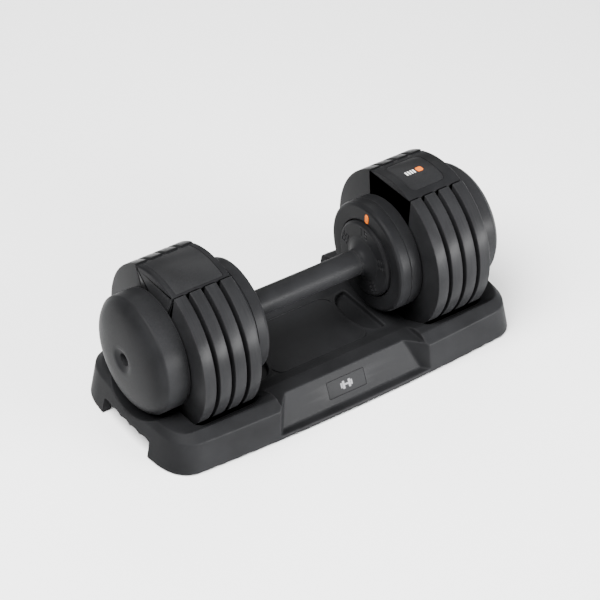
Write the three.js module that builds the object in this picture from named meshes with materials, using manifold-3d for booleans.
// Adjustable twist-handle dumbbell resting in its storage tray.
// Millimetres, +Z up. X runs along the handle, -Y is the front, Z = 0 is the table.
// The origin is the centre of the footprint.

import * as THREE from 'three';
import { mergeVertices } from 'three/addons/utils/BufferGeometryUtils.js';
import Module from 'manifold-3d';

const wasm = await Module();
wasm.setup();

// ---------------------------------------------------------------- driving dimensions

const AXIS_Z = 100; // height of the handle axis
const GAP = 0.3; // air between pieces that touch

const PLATE_COUNT = 4;
const PLATE_R = 91.2;
const PLATE_T = 13.8;
const PLATE_PITCH = 18.6;
const STACK_IN = 114.2; // inner face of the innermost plate
const STACK_OUT = STACK_IN + (PLATE_COUNT - 1) * PLATE_PITCH + PLATE_T;
const PLATE_CHAMFER = 1.6;
const PLATE_FLAT = 85.5; // axis to the flat bottom of a plate
const NOTCH_ANGLE = 23.6; // half angle of the V notch, degrees
const SLOT_R = 17; // half width of the slot the hub drops into
const POCKET_R = 31; // selector pocket in the inner face of a plate
const POCKET_DEPTH = 5.6;

const HUB_R = 12;
const SHAFT_R = 7;
const DISC_R = 27.5;
const DISC_T = 2.3;
const LIP_IN = 22.4;
const LIP_OUT = 25.4;
const LUG_TOP = 18.2;
const LUG_BOTTOM = 21.4;
const STEP_ANGLE = 72; // one weight setting of the handle

const CAP_R = 66.3;
const CAP_BACK = 185;
const CAP_FACE = 226.8; // middle of the domed face
const CAP_DOME = [[17.2, 66.3], [15, 65.6], [13.6, 64.4], [10, 61.1], [6.6, 56.1], [3.6, 47.6], [1.3, 34.1]];
const CAP_INSIDE = 211; // floor of the cup that holds the cap weight
const CAP_WALL = 4;

const HOUSING_R = 63.8;
const HOUSING_FRONT = 84.2;
const HOUSING_SPLIT = 99;
const HOUSING_BACK = 113.2;
const DIAL_R = 43.6;
const DIAL_FACE = 80.2;
const POINTER_Z = 51;
const LOCK_RING_R = 36.5; // inner radius of the notched ring behind the dial
const SEAM_X = 69;
const GRIP_R = 14.4;
const COLLAR_R = 25;

const TRAY_END = 230.5; // half length at the middle of an end wall
const END_DRAFT = 7.5;
const TRAY_SIDE = 104; // half width at mid length
const TRAY_BOTTOM = 1; // the shell stands this far above the table on its feet
const CREASE_Z = 38;
const RIM_Z = 47;
const DECK_Z = 31.6;
const SHELF_Z = 45;
const WELL_Z = 12.5;
const CRADLE_R = 71.5;
const FOOT_R = 10;
const FEET = [[-196, -72], [196, -72], [-196, 72], [196, 72]];
const RACK_TOP = AXIS_Z - PLATE_FLAT - GAP; // floor the plates stand on
const PIN_TIP = -HOUSING_R + 1.5; // lower end of a raised lock pin, from the axis
const PIN_X = 102.5;

const NUMBER_R = 29; // foot of the engraved numbers
const DIAL_NUMBERS = ['15', '25', '35', '45', '55'];

const BLACK = 0x1d1e20;
const SATIN = 0x232427;
const ORANGE = 0xf08a24;
const STEEL = 0xa9abad;

// ---------------------------------------------------------------- helpers

const rad = THREE.MathUtils.degToRad;

// A closed three.js geometry as a solid for joining and cutting.
function solid(geometry) {
  const bare = geometry.clone();
  bare.deleteAttribute('normal');
  bare.deleteAttribute('uv');
  const merged = mergeVertices(bare, 1e-4);
  const body = new wasm.Manifold(new wasm.Mesh({
    numProp: 3,
    vertProperties: new Float32Array(merged.attributes.position.array),
    triVerts: new Uint32Array(merged.index.array),
  }));
  if (body.isEmpty() || body.volume() <= 0) throw new Error('inside-out solid');
  return body;
}

function join(...solids) {
  return solids.reduce((sum, next) => sum.add(next));
}

function cut(body, ...tools) {
  return tools.reduce((rest, tool) => rest.subtract(tool), body);
}

function geometryOf(body) {
  const mesh = body.getMesh();
  const geometry = new THREE.BufferGeometry();
  geometry.setAttribute('position', new THREE.BufferAttribute(mesh.vertProperties, 3));
  geometry.setIndex(new THREE.BufferAttribute(mesh.triVerts, 1));
  geometry.computeVertexNormals();
  return geometry;
}

// Profile of [x, radius] pairs turned about the X axis, closed on itself or on the axis.
function turned(profile, segments = 28) {
  const points = profile.map(([x, r]) => new THREE.Vector2(r, x));
  const last = profile[profile.length - 1];
  if (profile[0][1] > 0 || last[1] > 0) points.push(points[0].clone());
  return solid(new THREE.LatheGeometry(points, segments).rotateZ(-Math.PI / 2));
}

function tube(x0, x1, rOut, rIn, segments = 28) {
  return turned([[x0, rIn], [x0, rOut], [x1, rOut], [x1, rIn]], segments);
}

function rod(x0, x1, r, segments = 28) {
  return turned([[x0, 0], [x0, r], [x1, r], [x1, 0]], segments);
}

// Axis-aligned block between two corners.
function block(x0, y0, z0, x1, y1, z1) {
  const box = new THREE.BoxGeometry(x1 - x0, y1 - y0, z1 - z0);
  return solid(box.translate((x0 + x1) / 2, (y0 + y1) / 2, (z0 + z1) / 2));
}

function shapeOf(points) {
  return new THREE.Shape(points.map(([a, b]) => new THREE.Vector2(a, b)));
}

// Outline in the YZ plane swept along X from x0 to x1, with an optional edge chamfer.
function alongX(shape, x0, x1, chamfer = 0, curveSegments = 6) {
  const sweep = new THREE.ExtrudeGeometry(shape, {
    depth: x1 - x0 - 2 * chamfer,
    bevelEnabled: chamfer > 0,
    bevelThickness: chamfer,
    bevelSize: chamfer,
    bevelOffset: -chamfer,
    bevelSegments: 1,
    curveSegments,
  });
  const axes = new THREE.Matrix4().makeBasis(
    new THREE.Vector3(0, 1, 0),
    new THREE.Vector3(0, 0, 1),
    new THREE.Vector3(1, 0, 0),
  );
  return solid(sweep.translate(0, 0, chamfer).applyMatrix4(axes).translate(x0, 0, 0));
}

// Plan outline raised from z0 to z1, its top scaled by [sx, sy] to give draft or a slope.
function raised(shape, z0, z1, sx = 1, sy = 1, curveSegments = 2) {
  const sweep = new THREE.ExtrudeGeometry(shape, {
    depth: z1 - z0,
    bevelEnabled: false,
    curveSegments,
  });
  const position = sweep.attributes.position;
  for (let i = 0; i < position.count; i += 1) {
    if (position.getZ(i) > (z1 - z0) / 2) {
      position.setX(i, position.getX(i) * sx);
      position.setY(i, position.getY(i) * sy);
    }
  }
  return solid(sweep.translate(0, 0, z0));
}

function roundedRect(x0, y0, x1, y1, r) {
  const shape = new THREE.Shape();
  shape.moveTo(x0 + r, y0);
  shape.lineTo(x1 - r, y0);
  shape.absarc(x1 - r, y0 + r, r, -Math.PI / 2, 0);
  shape.lineTo(x1, y1 - r);
  shape.absarc(x1 - r, y1 - r, r, 0, Math.PI / 2);
  shape.lineTo(x0 + r, y1);
  shape.absarc(x0 + r, y1 - r, r, Math.PI / 2, Math.PI);
  shape.lineTo(x0, y0 + r);
  shape.absarc(x0 + r, y0 + r, r, Math.PI, 1.5 * Math.PI);
  return shape;
}

// Sector of a ring, centred on the direction `middle` (degrees, 0 = +Y, 90 = +Z).
function sector(rIn, rOut, middle, half) {
  const a0 = rad(middle - half);
  const a1 = rad(middle + half);
  const shape = new THREE.Shape();
  shape.absarc(0, 0, rOut, a0, a1, false);
  shape.absarc(0, 0, rIn, a1, a0, true);
  shape.closePath();
  return shape;
}

// U-shaped outline around the axis, open upwards to the height `top`.
function slotShape(r, top) {
  const shape = new THREE.Shape();
  shape.moveTo(r, top);
  shape.lineTo(-r, top);
  shape.lineTo(-r, 0);
  shape.absarc(0, 0, r, Math.PI, 2 * Math.PI, false);
  return shape;
}

// ---------------------------------------------------------------- scene bookkeeping

const dumbbell = new THREE.Group();
const onAxis = new THREE.Group();
onAxis.position.z = AXIS_Z;
dumbbell.add(onAxis);
const inTray = new THREE.Group();
dumbbell.add(inTray);

function place(parent, name, body, color, roughness, metalness) {
  const material = new THREE.MeshStandardMaterial({ color, roughness, metalness });
  const mesh = new THREE.Mesh(geometryOf(body), material);
  mesh.name = name;
  parent.add(mesh);
  return mesh;
}

// ---------------------------------------------------------------- weight plates

const plateX = (k) => STACK_IN + (k - 1) * PLATE_PITCH;

// Round plate with a flat bottom, a V notch and a slot at the top, and a lug to lift it by.
function weightPlate(k) {
  const x0 = plateX(k);
  const x1 = x0 + PLATE_T;
  const flat = Math.asin(-PLATE_FLAT / PLATE_R);
  const notch = rad(NOTCH_ANGLE);
  const neck = SLOT_R / Math.tan(notch);
  const rim = new THREE.Shape();
  rim.absarc(0, 0, PLATE_R, flat, Math.PI / 2 - notch, false);
  rim.lineTo(SLOT_R, neck);
  rim.lineTo(SLOT_R, 0);
  rim.absarc(0, 0, SLOT_R, 0, -Math.PI, true);
  rim.lineTo(-SLOT_R, neck);
  rim.absarc(0, 0, PLATE_R, Math.PI / 2 + notch, Math.PI - flat, false);
  rim.closePath();
  const disc = alongX(rim, x0, x1, PLATE_CHAMFER, 7);
  const pocket = alongX(slotShape(POCKET_R, PLATE_R), x0 - 1, x0 + POCKET_DEPTH, 0, 5);
  const lug = block(x0 + 3.4, -4, -LUG_BOTTOM, x0 + POCKET_DEPTH + 1, 4, -LUG_TOP);
  return join(cut(disc, pocket), lug);
}

// Selector disc with its hub; the lip on its face passes under the lug of its plate when
// the plate is chosen: setting s turns the disc by s steps and plate k rides from setting k on.
function selectorDisc(k, turn) {
  const x0 = plateX(k) + 0.6;
  const hubEnd = k < PLATE_COUNT ? plateX(k + 1) + 0.6 - GAP : STACK_OUT + 0.5;
  const first = 270 + turn * k * STEP_ANGLE;
  const last = 270 + turn * PLATE_COUNT * STEP_ANGLE;
  const middle = (first + last) / 2;
  const half = Math.abs(last - first) / 2 + 20;
  const disc = tube(x0, x0 + DISC_T, DISC_R, SHAFT_R + GAP, 16);
  const hub = tube(x0 + 1, hubEnd, HUB_R, SHAFT_R + GAP, 16);
  const steps = Math.ceil(half / 8);
  const lip = alongX(sector(LIP_IN, LIP_OUT, middle, half), x0 + 1, x0 + 4.6, 0, steps);
  return join(disc, hub, lip);
}

// ---------------------------------------------------------------- fixed end pieces

// Cover that fills the V notch of all plates, with an inner and an outer wedge flange.
function bridge(panel) {
  const half = NOTCH_ANGLE - 0.35;
  const roof = alongX(sector(PLATE_R - 8, PLATE_R, 90, half), STACK_IN + 0.3, CAP_BACK - GAP, 0, 6);
  const wedge = sector(44, PLATE_R - 4, 90, half);
  const outer = alongX(wedge, CAP_BACK - GAP - 5, CAP_BACK - GAP);
  const inner = alongX(wedge, STACK_IN + 0.3, STACK_IN + 5);
  return cut(join(roof, outer, inner), panel);
}

// Curved slab lying in the top of the bridge, `grow` larger all round.
function topPanel(plain, grow) {
  const x0 = STACK_IN + 7 - grow;
  const x1 = CAP_BACK - 6.5 + grow;
  const slab = alongX(sector(PLATE_R - 2.2 - grow, PLATE_R - 0.2 + 4 * grow, 90, 30), x0, x1, 0, 7);
  const wide = PLATE_R * Math.sin(rad(NOTCH_ANGLE - 3)) + grow;
  const label = 26 + grow;
  const plan = plain
    ? roundedRect(x0, -wide, x1, wide, 1.5)
    : roundedRect(x0 + 4, -label, x1 - 9, label, 7 + grow);
  return slab.intersect(raised(plan, 70, 100));
}

// Cap with a domed face; its middle is dished around the hole over the end screw.
function endCap() {
  const outer = [[CAP_BACK, 0], [CAP_BACK, CAP_R - 0.8], [CAP_BACK + 0.8, CAP_R]];
  for (const [back, r] of CAP_DOME) {
    outer.push([CAP_FACE - back, r]);
  }
  outer.push([CAP_FACE, 14], [CAP_FACE - 1.9, 9.8], [CAP_FACE - 2.3, 0]);
  const inside = rod(CAP_BACK - 1, CAP_INSIDE, CAP_R - CAP_WALL);
  return cut(turned(outer), inside, rod(CAP_INSIDE - 9, CAP_FACE + 2, 7.4, 20));
}

function capWeight() {
  const bore = rod(CAP_BACK - 1, CAP_BACK + 9, SHAFT_R + 0.8, 20);
  const thread = rod(CAP_BACK, CAP_FACE, 4.3, 12);
  return cut(rod(CAP_BACK + 0.6, CAP_INSIDE - 0.4, CAP_R - CAP_WALL - 0.4), bore, thread);
}

function endScrew() {
  const head = rod(CAP_INSIDE, CAP_INSIDE + 4.5, 6.9, 20);
  const shank = rod(CAP_BACK + 14, CAP_INSIDE + 1, 4, 12);
  const key = new THREE.CylinderGeometry(3.2, 3.2, 4, 6).rotateZ(Math.PI / 2);
  return cut(join(head, shank), solid(key.translate(CAP_INSIDE + 4.5, 0, 0)));
}

// Front ring of the dial housing; the dial turns in its middle.
function housingRing() {
  const profile = [
    [HOUSING_SPLIT - GAP, DIAL_R + 0.5],
    [HOUSING_FRONT + 3, DIAL_R + 0.5],
    [HOUSING_FRONT, DIAL_R + 1.4],
    [HOUSING_FRONT, HOUSING_R - 5.2],
    [HOUSING_FRONT + 1.2, HOUSING_R - 2],
    [HOUSING_FRONT + 3.8, HOUSING_R],
    [HOUSING_SPLIT - GAP, HOUSING_R],
  ];
  const seat = alongX(capsule(POINTER_Z, 11.8, 6.4), HOUSING_FRONT - 2, HOUSING_FRONT + 1.5, 0, 4);
  const pinWay = block(98.6, -5, -HOUSING_R - 2, 110, 5, -40);
  return cut(turned(profile), seat, pinWay);
}

// Rear half of the dial housing: a cup closed by a web towards the plates.
function housingBack() {
  const profile = [
    [HOUSING_SPLIT, 54],
    [HOUSING_SPLIT, HOUSING_R],
    [HOUSING_BACK - 1.2, HOUSING_R],
    [HOUSING_BACK, HOUSING_R - 1.2],
    [HOUSING_BACK, HUB_R + 1],
    [HOUSING_BACK - 4, HUB_R + 1],
    [HOUSING_BACK - 4, 54],
  ];
  const pinWay = block(90, -5, -HOUSING_R - 2, 107.6, 5, -50);
  const springSeat = block(100, -4, -17.6, HOUSING_BACK - 3, 4, -14.2);
  return join(cut(turned(profile), pinWay), springSeat);
}

// Upright stadium in the YZ plane, centred at height z.
function capsule(z, height, width) {
  const r = width / 2;
  const h = height / 2 - r;
  const shape = new THREE.Shape();
  shape.absarc(0, z + h, r, 0, Math.PI, false);
  shape.absarc(0, z - h, r, Math.PI, 2 * Math.PI, false);
  shape.closePath();
  return shape;
}

function pointer() {
  return alongX(capsule(POINTER_Z, 11.2, 5.8), HOUSING_FRONT - 0.6, HOUSING_FRONT + 1.2, 0, 4);
}

// ---------------------------------------------------------------- turning pieces

// Strokes of the dial digits on a 5 x 8 grid: [x0, y0, x1, y1].
const STROKES = {
  1: [[2, 0, 3.2, 8], [0.9, 6, 2.5, 7.2]],
  2: [[0, 6.8, 5, 8], [3.8, 3.4, 5, 8], [0, 3.4, 5, 4.6], [0, 0, 1.2, 4.6], [0, 0, 5, 1.2]],
  3: [[0, 6.8, 5, 8], [3.8, 0, 5, 8], [1, 3.4, 5, 4.6], [0, 0, 5, 1.2]],
  4: [[0, 3, 1.2, 8], [0, 3, 5, 4.2], [3.2, 0, 4.4, 8]],
  5: [[0, 6.8, 5, 8], [0, 3.4, 1.2, 8], [0, 3.4, 5, 4.6], [3.8, 0, 5, 4.6], [0, 0, 5, 1.2]],
};

// Engraving of one number, its foot towards the centre, read from the handle side.
function engravedNumber(text, angle) {
  const scale = 1.2;
  const pitch = 6.6;
  const parts = [];
  [...text].forEach((digit, i) => {
    const left = (i - 1) * pitch + (pitch - 5) / 2;
    for (const [x0, y0, x1, y1] of STROKES[digit]) {
      const y = [-(left + x1) * scale, -(left + x0) * scale];
      const z = [NUMBER_R + y0 * scale, NUMBER_R + y1 * scale];
      parts.push(block(DIAL_FACE - 1, y[0], z[0], DIAL_FACE + 0.6, y[1], z[1]));
    }
  });
  return join(...parts).rotate([angle - 90, 0, 0]);
}

// Dial with engraved weights and, behind it, the notched lock ring.
function dial(turn) {
  const profile = [
    [DIAL_FACE, SHAFT_R + GAP],
    [DIAL_FACE, DIAL_R - 2.4],
    [DIAL_FACE + 2.4, DIAL_R],
    [98.4, DIAL_R],
    [98.4, LOCK_RING_R],
    [90, LOCK_RING_R],
    [90, HUB_R],
    [STACK_IN + 0.2, HUB_R],
    [STACK_IN + 0.2, SHAFT_R + GAP],
  ];
  let body = turned(profile);
  DIAL_NUMBERS.forEach((text, s) => {
    body = cut(body, engravedNumber(text, 90 + turn * s * STEP_ANGLE));
    const notch = block(91.5, -4.6, -DIAL_R - 1, 100, 4.6, 2 - LOCK_RING_R);
    body = cut(body, notch.rotate([s * STEP_ANGLE, 0, 0]));
  });
  return body;
}

function collar() {
  const profile = [
    [SEAM_X + GAP, SHAFT_R + GAP],
    [SEAM_X + GAP, GRIP_R - 0.5],
    [SEAM_X + 0.8, GRIP_R],
    [SEAM_X + 4, GRIP_R + 1.2],
    [SEAM_X + 7, GRIP_R + 4.6],
    [SEAM_X + 8.8, GRIP_R + 8],
    [DIAL_FACE - GAP, COLLAR_R],
    [DIAL_FACE - GAP, SHAFT_R + GAP],
  ];
  return turned(profile, 24);
}

// ---------------------------------------------------------------- lock pin and spring

// Pin that drops into a notch of the lock ring when the dumbbell leaves the tray.
function lockPin() {
  const stem = block(PIN_X - 2, -3.4, PIN_TIP, PIN_X + 2, 3.4, -29);
  const tooth = block(92.5, -3.4, 1 - LOCK_RING_R, 101, 3.4, -31.5);
  const shoulder = block(104, -3.4, -32, 107, 3.4, -29);
  return join(stem, tooth, shoulder);
}

function lockSpring() {
  class Coil extends THREE.Curve {
    getPoint(t, target = new THREE.Vector3()) {
      const a = t * 4 * 2 * Math.PI;
      return target.set(103.6 + 2.6 * Math.cos(a), 2.6 * Math.sin(a), -28.1 + 9.6 * t);
    }
  }
  const wire = new THREE.Shape();
  wire.absarc(0, 0, 0.5, 0, 2 * Math.PI, false);
  return solid(new THREE.ExtrudeGeometry(wire, {
    steps: 32,
    curveSegments: 2,
    extrudePath: new Coil(),
  }));
}

// ---------------------------------------------------------------- storage tray

// Quarter of the tray outline mirrored to all four: bowed sides and ends, round corners.
function trayOutline(inset = 0) {
  const end = TRAY_END - inset;
  const side = TRAY_SIDE - inset;
  const cornerX = 195;
  const cornerY = 60;
  const shape = new THREE.Shape();
  shape.moveTo(0, -side);
  const quarter = (sx, sy, flip) => {
    const long = [[cornerX * 0.5, side], [cornerX, side - 6.5]];
    const corner = [[end - 18, side - 7.5], [end - 6.5, side - 20], [end - 3.2, cornerY]];
    const short = [[end, cornerY * 0.5], [end, 0]];
    const at = ([x, y]) => [sx * x, sy * y];
    if (!flip) {
      shape.quadraticCurveTo(...at(long[0]), ...at(long[1]));
      shape.bezierCurveTo(...at(corner[0]), ...at(corner[1]), ...at(corner[2]));
      shape.quadraticCurveTo(...at(short[0]), ...at(short[1]));
    } else {
      shape.quadraticCurveTo(...at(short[0]), ...at(corner[2]));
      shape.bezierCurveTo(...at(corner[1]), ...at(corner[0]), ...at(long[1]));
      shape.quadraticCurveTo(...at(long[0]), 0, sy * side);
    }
  };
  quarter(1, -1, false);
  quarter(1, 1, true);
  quarter(-1, 1, false);
  quarter(-1, -1, true);
  return shape;
}

// Recess that gives the tray its waist, with S-curved ends; `front` is -1 or 1.
function waistTool(front) {
  const s = (x, y) => [x, front * y];
  const shape = new THREE.Shape();
  shape.moveTo(...s(-97, 112));
  shape.lineTo(...s(-97, 104));
  shape.bezierCurveTo(...s(-94, 92), ...s(-86, 78), ...s(-72, 78));
  shape.lineTo(...s(72, 78));
  shape.bezierCurveTo(...s(86, 78), ...s(94, 92), ...s(97, 104));
  shape.lineTo(...s(97, 112));
  shape.closePath();
  const prism = raised(shape, 6, RIM_Z + 2, 1, 1, 4);
  const slope = shapeOf([
    [front * 96.1, 0],
    [front * 93.5, 6],
    [front * 78.6, 40],
    [front * 72, RIM_Z + 4],
    [front * 120, RIM_Z + 4],
    [front * 120, 0],
  ]);
  return prism.intersect(alongX(slope, -100, 100));
}

// Finger grip: scallops open to the table through an end wall at +X.
function fingerGrip() {
  const pitch = 23;
  const r = pitch / 2;
  const scallops = [];
  for (let i = 0; i < 4; i += 1) {
    const y = (i - 1.5) * pitch;
    const arch = new THREE.Shape();
    arch.absarc(y, 15, r + 0.35, 0, Math.PI, false);
    arch.lineTo(y - r - 0.35, -3);
    arch.lineTo(y + r + 0.35, -3);
    arch.closePath();
    scallops.push(alongX(arch, 216, 240, 0, 4));
  }
  return join(...scallops, block(216, -50, -3, 240, 50, 11));
}

function trayShell() {
  const foot = trayOutline();
  const topX = (TRAY_END - END_DRAFT) / TRAY_END;
  const topY = (TRAY_SIDE - 2) / TRAY_SIDE;
  const wall = raised(foot, TRAY_BOTTOM, CREASE_Z, topX, topY, 4);
  const crease = foot.getPoints(4).map((p) => [p.x * topX, p.y * topY]);
  const upper = raised(shapeOf(crease), CREASE_Z - 0.01, RIM_Z, 216.5 / 223, 90 / 102);
  let body = join(wall, upper);

  const trough = roundedRect(-112, -41, 112, 41, 4);
  const shelf = roundedRect(100, -83, 215.6, 83, 26);
  const plateWell = roundedRect(109, -77.5, 186.4, 77.5, 10);
  const tools = [
    block(-94, -120, 40, 94, 120, 60),
    raised(trough, DECK_Z, RIM_Z + 1, 1, 79 / 41),
    waistTool(-1),
    waistTool(1),
  ];
  for (const sx of [1, -1]) {
    const face = sx > 0 ? 0 : 180;
    const cone = [[184, 0], [184, CRADLE_R], [213, CRADLE_R], [232, 66.5], [232, 0]];
    tools.push(
      raised(shelf, SHELF_Z, RIM_Z + 1).rotate([0, 0, face]),
      raised(plateWell, WELL_Z, RIM_Z + 1).rotate([0, 0, face]),
      turned(cone, 44).translate([0, 0, AXIS_Z]).rotate([0, 0, face]),
      fingerGrip().rotate([0, 0, face]),
      dialPocket().rotate([0, 0, face]),
    );
  }
  tools.push(...underside());
  body = cut(body, ...tools, badgeShape(GAP));
  for (const x of [PIN_X, -PIN_X]) {
    const post = block(x - 1.5, -2.8, DECK_Z - 1, x + 1.5, 2.8, AXIS_Z + PIN_TIP - GAP);
    body = join(body, post);
  }
  for (const [x, y] of FEET) {
    const boss = new THREE.CylinderGeometry(FOOT_R + 3.5, FOOT_R + 3.5, 9.5, 12);
    const seat = new THREE.CylinderGeometry(FOOT_R + GAP, FOOT_R + GAP, 6, 12);
    body = join(body, solid(boss.rotateX(Math.PI / 2).translate(x, y, TRAY_BOTTOM + 4.75)));
    body = cut(body, solid(seat.rotateX(Math.PI / 2).translate(x, y, 1)));
  }
  return body;
}

function trayFoot([x, y]) {
  const pad = new THREE.CylinderGeometry(FOOT_R, FOOT_R - 0.8, 3.7, 12).rotateX(Math.PI / 2);
  return solid(pad.translate(x, y, 1.85));
}

// Crescent pocket in the deck under the dial housing, where the lock pin can drop.
function dialPocket() {
  const shape = new THREE.Shape();
  shape.moveTo(83.5, -38);
  shape.lineTo(83.5, 38);
  shape.quadraticCurveTo(69, 40, 62, 24);
  shape.quadraticCurveTo(54, 0, 62, -24);
  shape.quadraticCurveTo(69, -40, 83.5, -38);
  return raised(shape, DECK_Z - 6, DECK_Z + 2);
}

// Hollows under the deck, under the cradles and under the wells.
function underside() {
  const deck = roundedRect(-100, -68, 100, 68, 6);
  const base = roundedRect(-218, -86, 218, 86, 24);
  const cradle = roundedRect(190, -70, 217, 70, 12);
  return [
    raised(deck, -2, DECK_Z - 9.5),
    raised(base, -2, WELL_Z - 3.5),
    raised(cradle, -2, 24),
    raised(cradle, -2, 24).rotate([0, 0, 180]),
  ];
}

// Blank badge let into the sloped front panel.
function badgeShape(grow) {
  const outline = roundedRect(-27 - grow, -9.5 - grow, 21 + grow, 9.5 + grow, 1.2);
  const plate = raised(outline, -1.2, grow > 0 ? 4 : 0);
  const tilt = (Math.atan2(34, 14.9) * 180) / Math.PI;
  return plate.rotate([tilt, 0, 0]).translate([0, -86.2, 22.6]);
}

// Comb of low ribs standing in a well; a rib fills the foot of each gap between plates.
function plateRack() {
  const z0 = WELL_Z + 0.2;
  let body = block(STACK_IN - 2.6, -46, z0, STACK_OUT + 1.4, 46, RACK_TOP);
  for (let k = 1; k < PLATE_COUNT; k += 1) {
    const x = plateX(k) + PLATE_T + 0.9;
    body = join(body, block(x, -46, z0, x + PLATE_PITCH - PLATE_T - 1.8, 46, z0 + 16));
  }
  return body;
}

// ---------------------------------------------------------------- assembly

place(inTray, 'tray_shell', trayShell(), BLACK, 0.5, 0);
place(inTray, 'front_badge', badgeShape(0), SATIN, 0.42, 0);
['front_left', 'front_right', 'back_left', 'back_right'].forEach((corner, i) => {
  place(inTray, `foot_${corner}`, trayFoot(FEET[i]), 0x161616, 0.9, 0);
});

place(onAxis, 'grip', tube(-SEAM_X, SEAM_X, GRIP_R, SHAFT_R + GAP, 24), BLACK, 0.5, 0);
place(onAxis, 'shaft', rod(-CAP_BACK - 8, CAP_BACK + 8, SHAFT_R, 16), STEEL, 0.3, 1);

for (const [side, face, turn] of [['right', 0, 1], ['left', Math.PI, -1]]) {
  const end = new THREE.Group();
  end.rotation.z = face;
  onAxis.add(end);
  const wellEnd = new THREE.Group();
  wellEnd.rotation.z = face;
  inTray.add(wellEnd);

  for (let k = 1; k <= PLATE_COUNT; k += 1) {
    place(end, `${side}_plate_${k}`, weightPlate(k), BLACK, 0.45, 0.1);
    place(end, `${side}_selector_disc_${k}`, selectorDisc(k, turn), STEEL, 0.45, 0.8);
  }
  const plain = side === 'left';
  place(end, `${side}_bridge`, bridge(topPanel(plain, GAP)), BLACK, 0.45, 0);
  place(end, `${side}_top_panel`, topPanel(plain, 0), SATIN, 0.4, 0);
  place(end, `${side}_end_cap`, endCap(), BLACK, 0.45, 0);
  place(end, `${side}_cap_weight`, capWeight(), STEEL, 0.6, 0.8);
  place(end, `${side}_end_screw`, endScrew(), 0x2a2a2c, 0.35, 0.9);
  place(end, `${side}_housing_ring`, housingRing(), BLACK, 0.45, 0);
  place(end, `${side}_housing_back`, housingBack(), BLACK, 0.45, 0);
  place(end, `${side}_pointer`, pointer(), ORANGE, 0.5, 0);
  place(end, `${side}_dial`, dial(turn), BLACK, 0.45, 0);
  place(end, `${side}_collar`, collar(), BLACK, 0.4, 0);
  place(end, `${side}_lock_pin`, lockPin(), STEEL, 0.4, 0.9);
  place(end, `${side}_lock_spring`, lockSpring(), STEEL, 0.35, 1);
  place(wellEnd, `${side}_plate_rack`, plateRack(), BLACK, 0.6, 0);
}

export default dumbbell;
